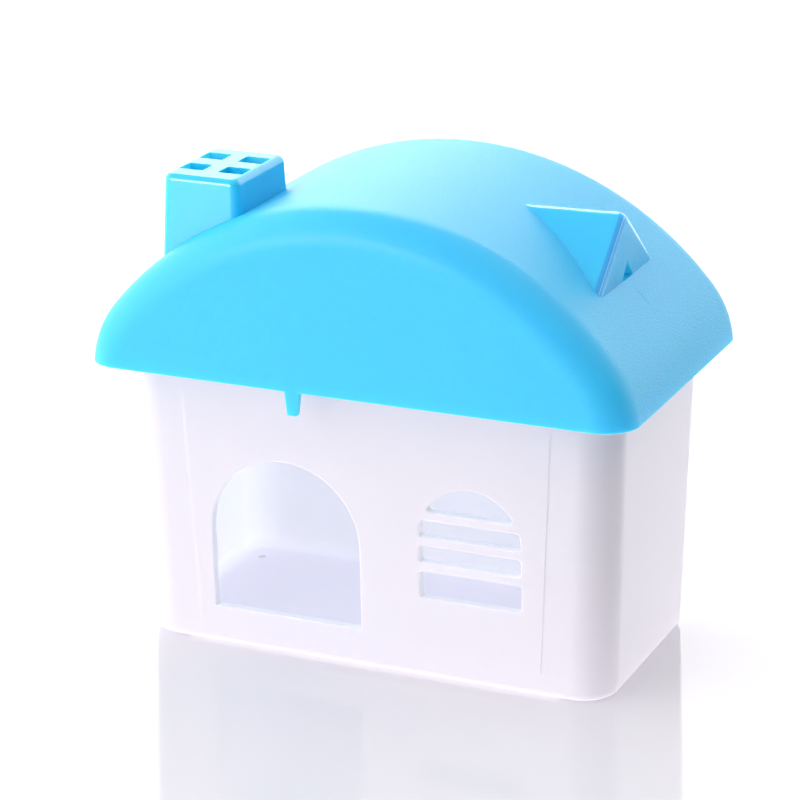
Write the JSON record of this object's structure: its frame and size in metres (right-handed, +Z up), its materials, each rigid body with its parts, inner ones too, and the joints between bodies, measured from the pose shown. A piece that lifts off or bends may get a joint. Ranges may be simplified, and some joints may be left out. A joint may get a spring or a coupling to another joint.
{
  "type": "small pet house",
  "caption": "Small plastic pet house: white moulded tub with an arched door and a barred arched window, under a blue barrel-vaulted lift-off roof with a dormer and a vented chimney.",
  "frame": {"origin": "on the surface the house stands on, under the middle of the tub", "axes": "+X to the right along the front, -Y out of the front wall with the door, +Z up"},
  "size_m": [0.1362, 0.0812, 0.1162],
  "materials": {
    "white_plastic": "glossy, slightly translucent white",
    "blue_plastic": "sky blue: polished gables, chimney and dormer, finely textured matte vault"
  },
  "bodies": {
    "house": {"house_body": "white_plastic"},
    "roof": {"roof_shell": "blue_plastic", "chimney": "blue_plastic"}
  },
  "joints": [
    {"name": "roof_lift", "type": "slide", "parent": "house", "child": "roof", "axis": [0, 0, 1], "range_m": [0, 0.04]}
  ]
}
